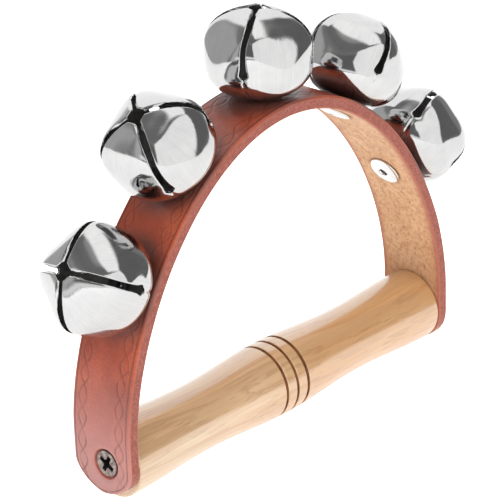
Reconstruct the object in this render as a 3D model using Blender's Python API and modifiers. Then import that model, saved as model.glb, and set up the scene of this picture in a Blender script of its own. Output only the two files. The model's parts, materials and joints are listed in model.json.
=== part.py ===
"""Hand-held sleigh bells: a turned wooden grip under a leather arch with five riveted jingle bells.

Metres, +Z up. The origin is the middle of the grip, +X runs along the grip, +Y runs through the hand
opening, and the arch rises along +Z. Each bell has a station on the arch: a point on the strap's
outer face, with the strap's outward normal as the bell's and the rivet's own axis.
"""
import math

import bmesh
import bpy
from mathutils import Matrix, Vector

MM = 0.001
GAP = 0.3 * MM                      # air between pieces that touch on the real object

# Grip: one turned piece of wood
GRIP_LENGTH = 138.0 * MM
GRIP_END_RADIUS = 11.7 * MM
GRIP_WAIST_RADIUS = 10.45 * MM
GRIP_MIDDLE_RADIUS = 12.0 * MM
GRIP_EDGE_ROUND = 0.9 * MM
GROOVE_SPACING = 4.8 * MM
GROOVE_WIDTH = 1.3 * MM
GROOVE_DEPTH = 0.7 * MM

# Strap: one band of leather, bent over the grip
STRAP_WIDTH = 23.5 * MM
STRAP_THICKNESS = 4.0 * MM
CROWN_HEIGHT = 92.4 * MM            # grip axis to the strap's middle surface at the crown
FOOT_RISE = 8.0 * MM                # the feet are straight up to here, flat against the grip's ends
FOOT_PULL = 35.5 * MM               # reach of the curve's handle above that
# The strap's two cut ends, which differ by hand work. Depth is below the grip's axis. A power of 2 makes
# the end elliptical, less makes it a blunt wedge. Across and up place the screw from the grip's axis.
FEET = (
    {"name": "left", "side": -1, "depth": 9.2 * MM, "power": 1.75, "across": -1.7 * MM, "up": 1.3 * MM},
    {"name": "right", "side": 1, "depth": 11.5 * MM, "power": 2.2, "across": 0.0, "up": 0.0},
)
CROWN_PULL = 41.8 * MM              # reach of the curve's handle at the crown
ARCH_SEGMENTS = 44

# Bells: distance along the arch from the crown, offset across the strap, turn about the rivet
STATIONS = (
    (-74.0 * MM, 0.0 * MM, 52.0),
    (-37.2 * MM, 0.5 * MM, 4.0),
    (0.4 * MM, 1.5 * MM, 76.0),
    (36.4 * MM, 0.3 * MM, 22.0),
    (74.0 * MM, 0.3 * MM, 75.5),
)
BELL_RADIUS = 16.2 * MM
BELL_HEIGHT = 27.0 * MM
BELL_EQUATOR = 9.6 * MM             # height of the widest ring above the bell's seat
BELL_SEAT_RADIUS = 5.0 * MM
BELL_WALL = 0.8 * MM
BELL_HOLE_RADIUS = 2.4 * MM
BELL_SQUARENESS = 4.3               # exponent of the section at the mouth: 2 is round
BELL_SIDES = 24
SLOT_ROOT = 8.0 * MM                # height of the slots' closed ends above the seat
SLOT_ROOT_WIDTH = 2.7 * MM
SLOT_WIDTH = 1.3 * MM
MOUTH_SIDE = 5.2 * MM

# Blind rivets: a wide domed flange inside the arch, a tail set inside the bell
SHANK_RADIUS = 2.0 * MM
RIVET_BORE = 1.3 * MM
FLANGE_RADIUS = 5.8 * MM
FLANGE_RISE = 1.3 * MM
FLANGE_RIM = 0.5 * MM
FLANGE_SEAT_DEPTH = 0.3 * MM        # how far the flange is pressed into the leather
TAIL_RADIUS = 3.1 * MM
TAIL_LENGTH = 2.6 * MM
MANDREL_RADIUS = 1.0 * MM
MANDREL_HEAD = 1.9 * MM

# Pellets: one loose steel ball in each bell
PELLET_RADIUS = 4.0 * MM
PELLET_CLEARANCE = 0.7 * MM         # to the true curve, which the faceted wall lies a little inside

# Screws: countersunk wood screws through the strap's feet into the grip
SCREW_HEAD_RADIUS = 4.1 * MM
SCREW_HEAD_HEIGHT = 2.3 * MM
SCREW_SUNK = 0.3 * MM
SCREW_CORE_RADIUS = 1.35 * MM
SCREW_THREAD_RADIUS = 1.9 * MM
SCREW_LENGTH = 25.0 * MM
SCREW_PITCH = 2.2 * MM
RECESS_WIDTH = 1.1 * MM
RECESS_SPAN = 4.6 * MM
RECESS_DEPTH = 1.4 * MM

PARTS = "sleigh_bells"
CUTTERS = "cutters"


# ---------------------------------------------------------------- scene and object helpers

def clear_scene():
    for obj in list(bpy.data.objects):
        bpy.data.objects.remove(obj, do_unlink=True)
    for name in (PARTS, CUTTERS):
        bpy.context.scene.collection.children.link(bpy.data.collections.new(name))


def material(name, colour, roughness, metallic):
    mat = bpy.data.materials.new(name)
    mat.use_nodes = True
    shader = mat.node_tree.nodes["Principled BSDF"]
    shader.inputs["Base Color"].default_value = (*colour, 1.0)
    shader.inputs["Roughness"].default_value = roughness
    shader.inputs["Metallic"].default_value = metallic
    return mat


def add_part(name, mesh, mat, matrix=None):
    obj = bpy.data.objects.new(name, mesh)
    bpy.data.collections[PARTS].objects.link(obj)
    mesh.materials.clear()
    mesh.materials.append(mat)
    mesh.shade_smooth()
    mesh.set_sharp_from_angle(angle=math.radians(35))
    if matrix is not None:
        obj.matrix_world = matrix
    return obj


def add_cutter(name, mesh, matrix=None):
    obj = bpy.data.objects.new(name, mesh)
    bpy.data.collections[CUTTERS].objects.link(obj)
    obj.hide_render = True
    obj.display_type = "WIRE"
    if matrix is not None:
        obj.matrix_world = matrix
    return obj


def evaluated_mesh(obj):
    """The object's mesh with its modifiers applied. The object itself is removed."""
    bpy.context.view_layer.update()
    depsgraph = bpy.context.evaluated_depsgraph_get()
    mesh = bpy.data.meshes.new_from_object(obj.evaluated_get(depsgraph))
    mesh.name = obj.name
    bpy.data.objects.remove(obj, do_unlink=True)
    return mesh


def cut(obj, cutter):
    modifier = obj.modifiers.new(cutter.name, "BOOLEAN")
    modifier.operation = "DIFFERENCE"
    modifier.solver = "EXACT"
    modifier.object = cutter


def mesh_of(bm, name):
    mesh = bpy.data.meshes.new(name)
    bm.to_mesh(mesh)
    bm.free()
    return mesh


def turned_mesh(name, profile, steps):
    """Turn a profile of (radius, height) about Z. It runs down the outer side, top to bottom."""
    mesh = bpy.data.meshes.new(name)
    edges = [(i, i + 1) for i in range(len(profile) - 1)]
    mesh.from_pydata([(radius, 0.0, height) for radius, height in profile], edges, [])
    obj = bpy.data.objects.new(name, mesh)
    bpy.context.scene.collection.objects.link(obj)
    screw = obj.modifiers.new("turn", "SCREW")
    screw.steps = steps
    screw.render_steps = steps
    screw.use_merge_vertices = True
    screw.merge_threshold = 0.00001
    return evaluated_mesh(obj)


def flat_outline_mesh(name, outline, half_depth):
    """A closed outline of (x, y) points, filled and extruded both ways along Z."""
    curve = bpy.data.curves.new(name, "CURVE")
    curve.dimensions = "2D"
    curve.fill_mode = "BOTH"
    curve.extrude = half_depth
    spline = curve.splines.new("POLY")
    spline.points.add(len(outline) - 1)
    for point, (x, y) in zip(spline.points, outline):
        point.co = (x, y, 0.0, 1.0)
    spline.use_cyclic_u = True
    obj = bpy.data.objects.new(name, curve)
    bpy.context.scene.collection.objects.link(obj)
    mesh = evaluated_mesh(obj)
    bm = bmesh.new()
    bm.from_mesh(mesh)
    bmesh.ops.remove_doubles(bm, verts=bm.verts, dist=0.000001)
    bmesh.ops.recalc_face_normals(bm, faces=bm.faces)
    bm.to_mesh(mesh)
    bm.free()
    return mesh


def cylinder_mesh(name, radius, low, high, segments):
    bm = bmesh.new()
    middle = Matrix.Translation((0.0, 0.0, (low + high) / 2))
    bmesh.ops.create_cone(bm, cap_ends=True, segments=segments, radius1=radius, radius2=radius,
                          depth=high - low, matrix=middle)
    return mesh_of(bm, name)


def box_mesh(name, size):
    bm = bmesh.new()
    bmesh.ops.create_cube(bm, size=1.0, matrix=Matrix.Diagonal((*size, 1.0)))
    return mesh_of(bm, name)


# ---------------------------------------------------------------- the arch's line

def arch_half_span():
    """Middle of the strap's thickness at the feet, from the grip's middle."""
    return GRIP_LENGTH / 2 + GAP + STRAP_THICKNESS / 2


def arch_point(t):
    """Middle surface of the right half in the XZ plane, from the foot at t = 0 to the crown at t = 1."""
    points = (
        Vector((arch_half_span(), FOOT_RISE)),
        Vector((arch_half_span(), FOOT_RISE + FOOT_PULL)),
        Vector((CROWN_PULL, CROWN_HEIGHT)),
        Vector((0.0, CROWN_HEIGHT)),
    )
    weights = ((1 - t) ** 3, 3 * (1 - t) ** 2 * t, 3 * (1 - t) * t ** 2, t ** 3)
    return sum((point * weight for point, weight in zip(points, weights)), Vector((0.0, 0.0)))


def arch_line():
    """Points (x, z) of the whole middle surface, from the left foot's end to the right foot's."""
    half = [arch_point(i * 2 / ARCH_SEGMENTS) for i in range(ARCH_SEGMENTS // 2 + 1)]
    foot = Vector((arch_half_span(), -STRAP_WIDTH / 2))
    right = [foot] + half
    left = [Vector((-point.x, point.y)) for point in right[:-1]]
    return left + right[::-1]


def normal_at(line, i):
    """Outward normal of the line at point i, square to the chord between its neighbours."""
    along = line[min(i + 1, len(line) - 1)] - line[max(i - 1, 0)]
    return Vector((-along.y, along.x)).normalized()


def arch_station(distance):
    """Point and outward normal of the middle surface at a distance along it from the crown."""
    side = -1.0 if distance < 0 else 1.0
    steps = 400
    travelled = 0.0
    previous = arch_point(1.0)
    for i in range(1, steps + 1):
        point = arch_point(1.0 - i / steps)
        travelled += (point - previous).length
        if travelled >= abs(distance):
            break
        previous = point
    along = (point - previous).normalized()
    return Vector((side * point.x, point.y)), Vector((-side * along.y, along.x))


def station_matrix(distance, across):
    """Frame on the strap's outer face: +Z out of the strap, +X along the arch, +Y across it."""
    point, normal = arch_station(distance)
    seat = point + normal * STRAP_THICKNESS / 2
    outward = Vector((normal.x, 0.0, normal.y))
    along = Vector((normal.y, 0.0, -normal.x))
    rotation = Matrix((along, outward.cross(along), outward)).transposed().to_4x4()
    return Matrix.Translation((seat.x, across, seat.y)) @ rotation


def foot_matrix(foot):
    """Frame on the outer face of one foot, at its screw: +Z points away from the grip."""
    face = arch_half_span() + STRAP_THICKNESS / 2
    place = Matrix.Translation((foot["side"] * face, foot["across"], foot["up"]))
    return place @ Matrix.Rotation(foot["side"] * math.pi / 2, 4, "Y")


# ---------------------------------------------------------------- the pieces

def smooth_step(t):
    return t * t * (3 - 2 * t)


def grip_radius(x):
    """Full in the middle and at the ends, slimmer at the two waists between."""
    share = abs(x) / (GRIP_LENGTH / 2)
    full = GRIP_MIDDLE_RADIUS if share < 0.5 else GRIP_END_RADIUS
    return GRIP_WAIST_RADIUS + (full - GRIP_WAIST_RADIUS) * (0.5 + 0.5 * math.cos(2 * math.tau * share / 2))


def grip_side():
    """Profile of the grip's outer side from its middle to the start of the end rounding."""
    points = [(GRIP_MIDDLE_RADIUS - GROOVE_DEPTH, 0.0), (grip_radius(0.0), GROOVE_WIDTH / 2)]
    points.append((grip_radius(0.0), GROOVE_SPACING - GROOVE_WIDTH / 2))
    points.append((GRIP_MIDDLE_RADIUS - GROOVE_DEPTH, GROOVE_SPACING))
    start = GROOVE_SPACING + GROOVE_WIDTH / 2
    points.append((grip_radius(start), start))
    stop = GRIP_LENGTH / 2 - GRIP_EDGE_ROUND
    spans = 8
    for i in range(1, spans + 1):
        x = start + (stop - start) * i / spans
        points.append((grip_radius(x), x))
    return points


def grip_profile():
    end = GRIP_LENGTH / 2
    top = [(0.0, end), (GRIP_END_RADIUS - GRIP_EDGE_ROUND, end)]
    top.append((GRIP_END_RADIUS - GRIP_EDGE_ROUND * 0.3, end - GRIP_EDGE_ROUND * 0.3))
    upper = top + grip_side()[::-1]
    lower = [(radius, -height) for radius, height in upper[:-1]]
    return upper + lower[::-1]


def add_grip():
    wood = material("maple", (0.72, 0.45, 0.22), 0.3, 0.0)
    mesh = turned_mesh("grip", grip_profile(), 24)
    grip = add_part("wooden_grip", mesh, wood, Matrix.Rotation(math.pi / 2, 4, "Y"))
    pilot = SCREW_THREAD_RADIUS + GAP
    floor = -SCREW_LENGTH - GAP
    bore = turned_mesh("pilot", [(0.0, 0.0), (pilot, 0.0), (pilot, floor), (0.0, floor - pilot)], 12)
    for foot in FEET:
        cut(grip, add_cutter("cut_pilot_" + foot["name"], bore, foot_matrix(foot)))


def foot_end_outline(depth, power):
    """Everything below and beside the rounded end that the strap keeps, seen along the grip."""
    reach = STRAP_WIDTH / 2
    end = []
    for i in range(17):
        across, down = math.cos(math.pi * i / 16), math.sin(math.pi * i / 16)
        end.append((-reach * math.copysign(abs(across) ** (2 / power), across), -depth * down ** (2 / power)))
    frame = [(2 * reach, 0.0), (2 * reach, -2 * reach), (-2 * reach, -2 * reach), (-2 * reach, 0.0)]
    return end + frame


def add_strap():
    leather = material("leather", (0.35, 0.08, 0.04), 0.4, 0.0)
    line = arch_line()
    half = STRAP_THICKNESS / 2
    outer = [point + normal_at(line, i) * half for i, point in enumerate(line)]
    inner = [point - normal_at(line, i) * half for i, point in enumerate(line)]
    upright = Matrix.Rotation(math.pi / 2, 4, "X")
    mesh = flat_outline_mesh("strap", [tuple(p) for p in outer + inner[::-1]], STRAP_WIDTH / 2)
    strap = add_part("leather_strap", mesh, leather, upright)

    half_span = (arch_half_span() + STRAP_THICKNESS) / 2
    along_grip = Matrix.Rotation(math.pi / 2, 4, "Z") @ Matrix.Rotation(math.pi / 2, 4, "X")
    for foot in FEET:
        end = flat_outline_mesh("strap_end", foot_end_outline(foot["depth"], foot["power"]), half_span)
        place = Matrix.Translation((foot["side"] * half_span, 0.0, 0.0)) @ along_grip
        cut(strap, add_cutter("cut_strap_end_" + foot["name"], end, place))

    wide = SCREW_HEAD_RADIUS + GAP + SCREW_SUNK
    narrow = SCREW_THREAD_RADIUS + GAP
    sink = turned_mesh("countersink", [(0.0, wide - narrow), (wide + wide - narrow, wide - narrow),
                                       (narrow, narrow - wide), (narrow, -2 * STRAP_THICKNESS),
                                       (0.0, -2 * STRAP_THICKNESS)], 16)
    for foot in FEET:
        cut(strap, add_cutter("cut_screw_" + foot["name"], sink, foot_matrix(foot)))

    hole = cylinder_mesh("rivet_hole", SHANK_RADIUS + GAP, -2 * STRAP_THICKNESS, STRAP_THICKNESS, 16)
    floor = FLANGE_SEAT_DEPTH - STRAP_THICKNESS
    seat = cylinder_mesh("flange_seat", FLANGE_RADIUS + GAP, floor - STRAP_THICKNESS, floor, 16)
    for number, (distance, across, _) in enumerate(STATIONS, 1):
        frame = station_matrix(distance, across)
        cut(strap, add_cutter("cut_rivet_hole_%d" % number, hole, frame))
        cut(strap, add_cutter("cut_flange_seat_%d" % number, seat, frame))


def bell_lower_side(t):
    """(radius, height) from the edge of the flat seat at t = 0 to the widest ring at t = 1."""
    points = ((BELL_SEAT_RADIUS, 0.0), (11.6 * MM, 0.5 * MM), (BELL_RADIUS, 4.0 * MM),
              (BELL_RADIUS, BELL_EQUATOR))
    weights = ((1 - t) ** 3, 3 * (1 - t) ** 2 * t, 3 * (1 - t) * t ** 2, t ** 3)
    return tuple(sum(w * p[k] for w, p in zip(weights, points)) for k in (0, 1))


def bell_upper_side(t):
    """(radius, height) from the widest ring at t = 0 to the tip at t = 1, at the middle of a petal."""
    angle = t * math.pi / 2
    return BELL_RADIUS * math.cos(angle), BELL_EQUATOR + (BELL_HEIGHT - BELL_EQUATOR) * math.sin(angle)


def bell_section(height, angle):
    """How much further out the wall lies at an angle than at a petal's middle."""
    rise = min(max((height - BELL_EQUATOR) / (BELL_HEIGHT - BELL_EQUATOR), 0.0), 1.0)
    power = 2 + (BELL_SQUARENESS - 2) * smooth_step(rise)
    return (abs(math.cos(angle)) ** power + abs(math.sin(angle)) ** power) ** (-1 / power)


def bell_surface():
    """Outer surface, from the rivet hole up to the mouth: round below, square at the mouth."""
    sides = [(BELL_HOLE_RADIUS, 0.0)]
    sides += [bell_lower_side(i / 3) for i in range(3)]
    sides += [bell_upper_side(i / 5) for i in range(5)]
    sides.append(bell_upper_side(0.93))
    bm = bmesh.new()
    rings = []
    for radius, height in sides:
        ring = []
        for i in range(BELL_SIDES):
            angle = math.tau * i / BELL_SIDES
            reach = radius * bell_section(height, angle)
            ring.append(bm.verts.new((reach * math.cos(angle), reach * math.sin(angle), height)))
        rings.append(ring)
    for low, high in zip(rings, rings[1:]):
        for i in range(BELL_SIDES):
            j = (i + 1) % BELL_SIDES
            bm.faces.new((low[i], low[j], high[j], high[i]))
    return mesh_of(bm, "bell_surface")


def slot_outline():
    """Half a slot's width against height, from above the mouth down to its closed end, both sides."""
    half = (
        (SLOT_WIDTH * 0.42, BELL_HEIGHT + 2 * BELL_WALL),
        (SLOT_WIDTH * 0.55, BELL_HEIGHT * 0.80),
        (SLOT_WIDTH * 0.75, BELL_HEIGHT * 0.55),
        (SLOT_ROOT_WIDTH / 2, SLOT_ROOT + 1.3 * MM),
        (SLOT_ROOT_WIDTH * 0.28, SLOT_ROOT),
    )
    return [(-width, height) for width, height in half] + list(half[::-1])


def bell_mesh():
    """A closed shell with four slots that cross at the mouth."""
    bell = bpy.data.objects.new("bell", bell_surface())
    bpy.context.scene.collection.objects.link(bell)
    wall = bell.modifiers.new("wall", "SOLIDIFY")
    wall.thickness = BELL_WALL
    wall.offset = -1.0
    wall.use_even_offset = True
    outline = flat_outline_mesh("slot", slot_outline(), 2 * BELL_RADIUS)
    upright = Matrix.Rotation(math.pi / 2, 4, "X")
    cutters = []
    for degrees in (45, 135):
        turn = Matrix.Rotation(math.radians(degrees), 4, "Z")
        cutters.append(add_cutter("cut_slot_%d" % degrees, outline, turn @ upright))
    mouth = box_mesh("mouth", (MOUTH_SIDE, MOUTH_SIDE, BELL_HEIGHT))
    lift = Matrix.Translation((0.0, 0.0, BELL_HEIGHT))
    cutters.append(add_cutter("cut_mouth", mouth, lift))
    for cutter in cutters:
        cut(bell, cutter)
    mesh = evaluated_mesh(bell)
    for cutter in cutters:
        bpy.data.objects.remove(cutter, do_unlink=True)
    return mesh


def rivet_mesh():
    """Tube with a set tail inside the bell and a domed flange against the strap's inner face."""
    tail_foot = 2 * GAP + BELL_WALL + GAP
    tail_top = tail_foot + TAIL_LENGTH
    flange_back = -STRAP_THICKNESS
    profile = [
        (RIVET_BORE, tail_top),
        (TAIL_RADIUS * 0.78, tail_top),
        (TAIL_RADIUS, tail_foot + TAIL_LENGTH * 0.5),
        (TAIL_RADIUS * 0.92, tail_foot),
        (SHANK_RADIUS, tail_foot),
        (SHANK_RADIUS, flange_back),
        (FLANGE_RADIUS, flange_back),
        (FLANGE_RADIUS, flange_back - FLANGE_RIM),
        (FLANGE_RADIUS * 0.8, flange_back - FLANGE_RISE * 0.75),
        (FLANGE_RADIUS * 0.45, flange_back - FLANGE_RISE),
        (RIVET_BORE, flange_back - FLANGE_RISE),
        (RIVET_BORE, tail_top),
    ]
    return turned_mesh("rivet", profile, 12)


def mandrel_mesh():
    """What stays of the pulled pin: its head behind the tail, and its stem broken off in the bore."""
    head_foot = 2 * GAP + BELL_WALL + GAP + TAIL_LENGTH + GAP
    profile = [
        (0.0, head_foot + MANDREL_HEAD * 0.85),
        (MANDREL_HEAD * 0.6, head_foot + MANDREL_HEAD * 0.7),
        (MANDREL_HEAD, head_foot + MANDREL_HEAD * 0.25),
        (MANDREL_HEAD * 0.9, head_foot),
        (MANDREL_RADIUS, head_foot),
        (MANDREL_RADIUS, -STRAP_THICKNESS - FLANGE_RISE * 0.2),
        (0.0, -STRAP_THICKNESS - FLANGE_RISE * 0.4),
    ]
    return turned_mesh("mandrel", profile, 10)


def inset_bell_profile():
    """(radius, height) where a pellet's centre can lie when it touches the wall, bottom to top."""
    inset = BELL_WALL + PELLET_RADIUS + PELLET_CLEARANCE
    side = [bell_lower_side(i / 40) for i in range(40)] + [bell_upper_side(i / 40) for i in range(39)]
    centres = []
    for (r0, z0), (r1, z1) in zip(side, side[1:]):
        along = Vector((r1 - r0, z1 - z0)).normalized()
        middle = Vector(((r0 + r1) / 2, (z0 + z1) / 2))
        centres.append(middle + Vector((-along.y, along.x)) * inset)
    return centres


def pellet_rest(matrix):
    """World place of a pellet at rest: the lowest place in its bell that clears the rivet's tail."""
    clear = TAIL_RADIUS + PELLET_RADIUS + GAP
    outward = matrix.to_3x3() @ Vector((0.0, 0.0, 1.0))
    level = math.hypot(outward.x, outward.y)
    downhill = Vector((outward.x, outward.y, 0.0)).normalized() if level > 0.05 else Vector((0.0, -1.0, 0.0))
    uphill_side = (downhill - outward * outward.dot(downhill)).normalized()
    centres = [matrix.translation + outward * (height + GAP) + uphill_side * radius
               for radius, height in inset_bell_profile() if radius >= clear or height > BELL_EQUATOR]
    return min(centres, key=lambda centre: centre.z)


def pellet_mesh():
    bm = bmesh.new()
    bmesh.ops.create_uvsphere(bm, u_segments=12, v_segments=8, radius=PELLET_RADIUS)
    return mesh_of(bm, "pellet")


def add_bells():
    nickel_shape = bell_mesh()
    rivet_shape = rivet_mesh()
    mandrel_shape = mandrel_mesh()
    pellet_shape = pellet_mesh()
    for number, (distance, across, turn) in enumerate(STATIONS, 1):
        frame = station_matrix(distance, across)
        nickel = material("nickel_%d" % number, (0.80, 0.81, 0.82), 0.08, 1.0)
        spun = frame @ Matrix.Translation((0.0, 0.0, GAP)) @ Matrix.Rotation(math.radians(turn), 4, "Z")
        add_part("bell_shell_%d" % number, nickel_shape.copy(), nickel, spun)
        steel = material("rivet_steel_%d" % number, (0.78, 0.78, 0.78), 0.25, 1.0)
        add_part("rivet_body_%d" % number, rivet_shape.copy(), steel, frame)
        pin = material("mandrel_steel_%d" % number, (0.30, 0.30, 0.31), 0.45, 1.0)
        add_part("rivet_mandrel_%d" % number, mandrel_shape.copy(), pin, frame)
        ball = material("pellet_steel_%d" % number, (0.55, 0.55, 0.56), 0.3, 1.0)
        add_part("pellet_%d" % number, pellet_shape.copy(), ball, Matrix.Translation(pellet_rest(frame)))


def screw_profile():
    """Countersunk head, then a threaded shank drawn as a row of rings down to the point."""
    face = -SCREW_SUNK
    neck = face - SCREW_HEAD_HEIGHT
    points = [(0.0, face), (SCREW_HEAD_RADIUS, face), (SCREW_HEAD_RADIUS, face - 0.2 * MM)]
    points.append((SCREW_THREAD_RADIUS, neck))
    height = neck - 2 * SCREW_PITCH
    points.append((SCREW_THREAD_RADIUS, height))
    while height > -SCREW_LENGTH + 2 * SCREW_PITCH:
        points.append((SCREW_CORE_RADIUS, height - SCREW_PITCH * 0.25))
        points.append((SCREW_CORE_RADIUS, height - SCREW_PITCH * 0.75))
        points.append((SCREW_THREAD_RADIUS, height - SCREW_PITCH))
        height -= SCREW_PITCH
    points.append((SCREW_CORE_RADIUS, height - SCREW_PITCH * 0.25))
    points.append((0.0, -SCREW_LENGTH))
    return points


def add_screws():
    shape = turned_mesh("screw", screw_profile(), 12)
    recess = box_mesh("recess", (RECESS_SPAN, RECESS_WIDTH, 2 * RECESS_DEPTH))
    for foot in FEET:
        bronze = material("screw_steel_" + foot["name"], (0.10, 0.085, 0.075), 0.45, 1.0)
        screw = add_part("foot_screw_" + foot["name"], shape.copy(), bronze, foot_matrix(foot))
        for turn in (30, 120):
            frame = foot_matrix(foot) @ Matrix.Translation((0.0, 0.0, -SCREW_SUNK))
            frame = frame @ Matrix.Rotation(math.radians(turn), 4, "Z")
            cut(screw, add_cutter("cut_recess_%s_%d" % (foot["name"], turn), recess, frame))


def build():
    clear_scene()
    add_grip()
    add_strap()
    add_bells()
    add_screws()


build()
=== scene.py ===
"""Looks for the hand-held sleigh bells: leather arch, turned grip, riveted nickel bells.

Everything is in metres in the CAD's own frame: +X along the grip, +Z up to the crown. Sizes repeat the
CAD's driving dimensions; places come from the frame's joints and boxes.
"""
import json
import math

import bmesh
import bpy
import numpy as np
from mathutils import Matrix, Vector, noise

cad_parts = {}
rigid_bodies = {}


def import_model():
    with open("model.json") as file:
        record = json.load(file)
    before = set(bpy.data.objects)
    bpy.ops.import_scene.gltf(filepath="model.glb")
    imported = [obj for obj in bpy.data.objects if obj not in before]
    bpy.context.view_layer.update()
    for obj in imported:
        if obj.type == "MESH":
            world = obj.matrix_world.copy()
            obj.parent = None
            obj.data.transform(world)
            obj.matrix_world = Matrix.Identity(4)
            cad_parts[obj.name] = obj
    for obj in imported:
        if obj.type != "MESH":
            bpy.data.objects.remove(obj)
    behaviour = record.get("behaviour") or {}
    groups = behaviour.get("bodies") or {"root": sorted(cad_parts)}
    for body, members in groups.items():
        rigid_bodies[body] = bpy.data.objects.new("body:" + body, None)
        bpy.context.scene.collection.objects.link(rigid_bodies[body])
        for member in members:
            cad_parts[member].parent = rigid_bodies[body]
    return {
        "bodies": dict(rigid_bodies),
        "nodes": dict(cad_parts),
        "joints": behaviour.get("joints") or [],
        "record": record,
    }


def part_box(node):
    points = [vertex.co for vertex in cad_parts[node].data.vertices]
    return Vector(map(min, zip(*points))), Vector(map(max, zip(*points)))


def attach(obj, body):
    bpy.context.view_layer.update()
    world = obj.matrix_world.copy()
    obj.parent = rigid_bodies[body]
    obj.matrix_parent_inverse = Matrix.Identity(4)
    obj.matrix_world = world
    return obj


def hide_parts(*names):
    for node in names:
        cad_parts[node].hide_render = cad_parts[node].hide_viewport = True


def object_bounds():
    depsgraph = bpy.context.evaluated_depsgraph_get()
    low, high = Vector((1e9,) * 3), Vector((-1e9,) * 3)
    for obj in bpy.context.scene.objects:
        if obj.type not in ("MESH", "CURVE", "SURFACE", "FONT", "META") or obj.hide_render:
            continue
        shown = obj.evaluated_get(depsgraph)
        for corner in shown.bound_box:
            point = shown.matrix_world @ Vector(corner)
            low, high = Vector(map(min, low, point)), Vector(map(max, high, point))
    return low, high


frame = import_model()
CAD_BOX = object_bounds()

MM = 0.001
JOINTS = {joint["name"]: joint for joint in frame["joints"]}

# Camera: the photograph's angle, a long lens
CAMERA_AZIMUTH = math.radians(-46.4)
CAMERA_ELEVATION = math.radians(24.4)
CAMERA_ROLL = math.radians(-1.95)
CAMERA_DISTANCE = 0.7616
CAMERA_TARGET = Vector((-0.0073, 0.0, 0.0463))
CAMERA_LENS = 181.0

# Strap
STRAP_THICKNESS = 4.0 * MM
CROWN_HEIGHT = 92.4 * MM
FOOT_RISE = 8.0 * MM
FOOT_PULL = 35.5 * MM
CROWN_PULL = 41.8 * MM
FOOT_ENDS = {-1: (9.2 * MM, 1.75), 1: (11.5 * MM, 2.2)}  # depth below the grip's axis, power
STRAP_STEP = 0.55 * MM
OUTER_ROUND = 0.8 * MM
INNER_ROUND = 0.45 * MM
CHAIN_INSET = 4.2 * MM  # middle of the tooled chain, from the strap's edge
CHAIN_SWING = 1.6 * MM
CHAIN_LOOP = 6.6 * MM
TOOL_DEPTH = 0.20 * MM
TOOL_WIDTH = 0.22 * MM

# Bells
BELL_TURNS = {1: 52.0, 2: 4.0, 3: 76.0, 4: 22.0, 5: 75.5}
SEAT_GAP = 0.3 * MM
BELL_RADIUS = 16.2 * MM
BELL_HEIGHT = 27.0 * MM
BELL_EQUATOR = 9.6 * MM
BELL_SEAT_RADIUS = 5.0 * MM
BELL_HOLE_RADIUS = 2.4 * MM
BELL_WALL = 0.7 * MM
BELL_SQUARENESS = 4.3
SLOT_ROOT = 8.0 * MM
MOUTH_HALF = 2.6 * MM
LIP_ROUND = 0.32 * MM
SLOT_EASE = {1: 1.30, 2: 1.25, 3: 1.20, 4: 1.25, 5: 1.30}
# How much higher than SLOT_ROOT each slot ends, in mm, and how far its lower end turns, in degrees
SLOT_LIFT = {1: (3.0, 0.8, 1.0, 0.8), 2: (0.6, 0.6, 0.3, 0.6), 3: (1.0, 1.2, 1.0, 1.0),
             4: (0.8, 0.8, 0.8, 0.8), 5: (0.8, 0.8, 0.8, 0.8)}
SLOT_DRIFT = {1: (0, -3, -1, 3), 2: (-3, 2, -3.5, 0), 3: (0, -4.5, 0, 0), 4: (0, 0, 0, 0), 5: (0, 0, 0, 0)}

# Rivets, pellets and screws
SHANK_RADIUS = 2.0 * MM
RIVET_BORE = 1.3 * MM
FLANGE_RADIUS = 5.35 * MM
FLANGE_RISE = 1.3 * MM
FLANGE_RIM = 0.45 * MM
TAIL_RADIUS = 3.1 * MM
TAIL_LENGTH = 2.6 * MM
TAIL_FOOT = 2 * SEAT_GAP + 0.8 * MM + SEAT_GAP  # underside of the set tail, above the strap
MANDREL_RADIUS = 1.0 * MM
MANDREL_HEAD = 1.9 * MM
PELLET_RADIUS = 4.0 * MM
SCREW_HEAD_RADIUS = 4.1 * MM
SCREW_HEAD_HEIGHT = 2.3 * MM
SCREW_SUNK = 0.3 * MM
SCREW_COUNTERSINK = 0.8 * MM  # how much wider than the head its hole is
SCREW_CORE_RADIUS = 1.35 * MM
SCREW_THREAD_RADIUS = 1.9 * MM
SCREW_LENGTH = 25.0 * MM
SCREW_PITCH = 2.2 * MM
CROSS_TURN = 62.0  # degrees that the driver's cross is turned by

STAGE_MIDDLE = Vector((0.0, 0.0, 0.05))
FLOOR_SIZE = 1.5
FLOOR_GAP = 0.3 * MM

# Flat panels that the polished metal sees. Facing azimuth and elevation in degrees, then left, right,
# bottom and top as slopes from there, then the edge's blur and the brightness.
PANELS = {
    "wall_left": ((-165, 10), (-0.75, 0.95, -0.50, 0.50), 0.08, 0.54),
    "screen_left": ((-114, 10), (-0.14, 0.14, -0.50, 0.65), 0.05, 0.62),
    "behind_camera": ((-76, 12), (-0.55, 0.52, -0.80, 0.72), 0.04, 0.17),
    "horizon_glow": ((-80, 0), (-0.80, 0.60, -0.10, 0.06), 0.03, 1.10),
    "soft_box": ((-7, 0), (-0.87, 0.76, -0.80, 1.42), 0.015, 1.30),
    "flag_right": ((56, 0), (-0.46, 0.52, -0.80, 2.10), 0.03, 0.17),
    "window": ((138, 25), (-0.62, 0.75, -0.90, 0.90), 0.05, 1.35),
    "sky_light": ((78, 70), (-0.50, 0.60, -0.12, 0.45), 0.05, 1.40),
}

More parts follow.
